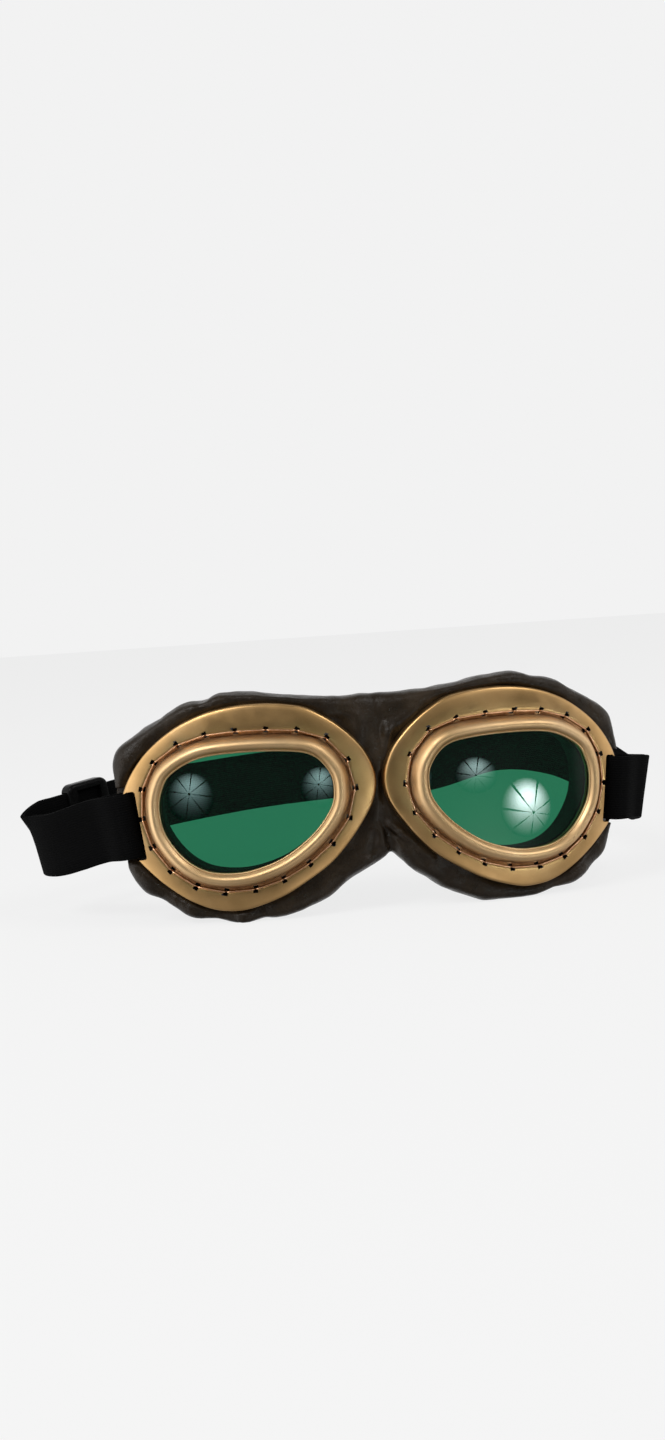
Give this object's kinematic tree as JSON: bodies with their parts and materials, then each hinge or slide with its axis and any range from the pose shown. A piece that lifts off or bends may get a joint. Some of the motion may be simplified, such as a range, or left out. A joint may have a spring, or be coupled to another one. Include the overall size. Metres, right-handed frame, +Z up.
{
  "type": "pilot goggles",
  "caption": "Goggles with two metal-framed green lenses on a folding padded leather mask, with an elastic strap and a length slider.",
  "frame": {"origin": "on the floor, in the middle of the space that the goggles and their strap take up", "axes": "+X from the wearer's right side to the left side, which is the picture's left to right; +Y from the lenses back to the strap; +Z up"},
  "size_m": [0.2546, 0.141, 0.0869],
  "materials": {
    "gold_metal": "satin gold plating",
    "copper_wire": "reddish brown, matte",
    "plated_steel": "plain plated",
    "green_glass": "polished, tinted green",
    "black_rubber": "matte",
    "black_lining": "matte woven",
    "brown_leather": "satin, fine grain",
    "grey_foam": "matte, open foam",
    "black_elastic": "matte, ribbed weave",
    "black_plastic": "glossy moulded"
  },
  "bodies": {
    "left_eyecup": {"frame_left": "gold_metal", "bezel_left": "gold_metal", "lens_left": "green_glass", "lens_gasket_left": "black_rubber", "lacing_wire_left": "copper_wire", "backing_ring_left": "plated_steel", "eyecup_liner_left": "black_lining", "leather_pad_left": "brown_leather", "face_foam_left": "grey_foam", "nose_bridge": "brown_leather", "rear_band_middle": "black_elastic"},
    "right_eyecup": {"frame_right": "gold_metal", "bezel_right": "gold_metal", "lens_right": "green_glass", "lens_gasket_right": "black_rubber", "lacing_wire_right": "copper_wire", "backing_ring_right": "plated_steel", "eyecup_liner_right": "black_lining", "leather_pad_right": "brown_leather", "face_foam_right": "grey_foam"},
    "left_strap": {"strap_loop_left": "black_elastic", "rear_band_left": "black_elastic"},
    "right_strap": {"strap_loop_right": "black_elastic", "rear_band_right": "black_elastic"},
    "slider": {"strap_slider": "black_plastic"}
  },
  "joints": [
    {"name": "nose_fold", "type": "hinge", "parent": "left_eyecup", "child": "right_eyecup", "pos_m": [0.00934, -0.05746, 0.04276], "axis": [0, 0, 1], "range_deg": [-12, 46], "deforming": ["nose_bridge", "rear_band_middle"]},
    {"name": "left_strap_swing", "type": "hinge", "parent": "left_eyecup", "child": "left_strap", "pos_m": [-0.08581, -0.04759, 0.03876], "axis": [-0.1417, 0.0447, 0.9889], "range_deg": [-15, 40], "deforming": ["rear_band_left"]},
    {"name": "right_strap_swing", "type": "hinge", "parent": "right_eyecup", "child": "right_strap", "pos_m": [0.10449, -0.04759, 0.03876], "axis": [-0.0976, 0.0037, -0.9952], "range_deg": [-20, 40], "deforming": ["rear_band_right"]},
    {"name": "slider_slide", "type": "slide", "parent": "left_strap", "child": "slider", "axis": [0.8047, 0.585, 0.1013], "range_m": [-0.006, 0.018]}
  ]
}
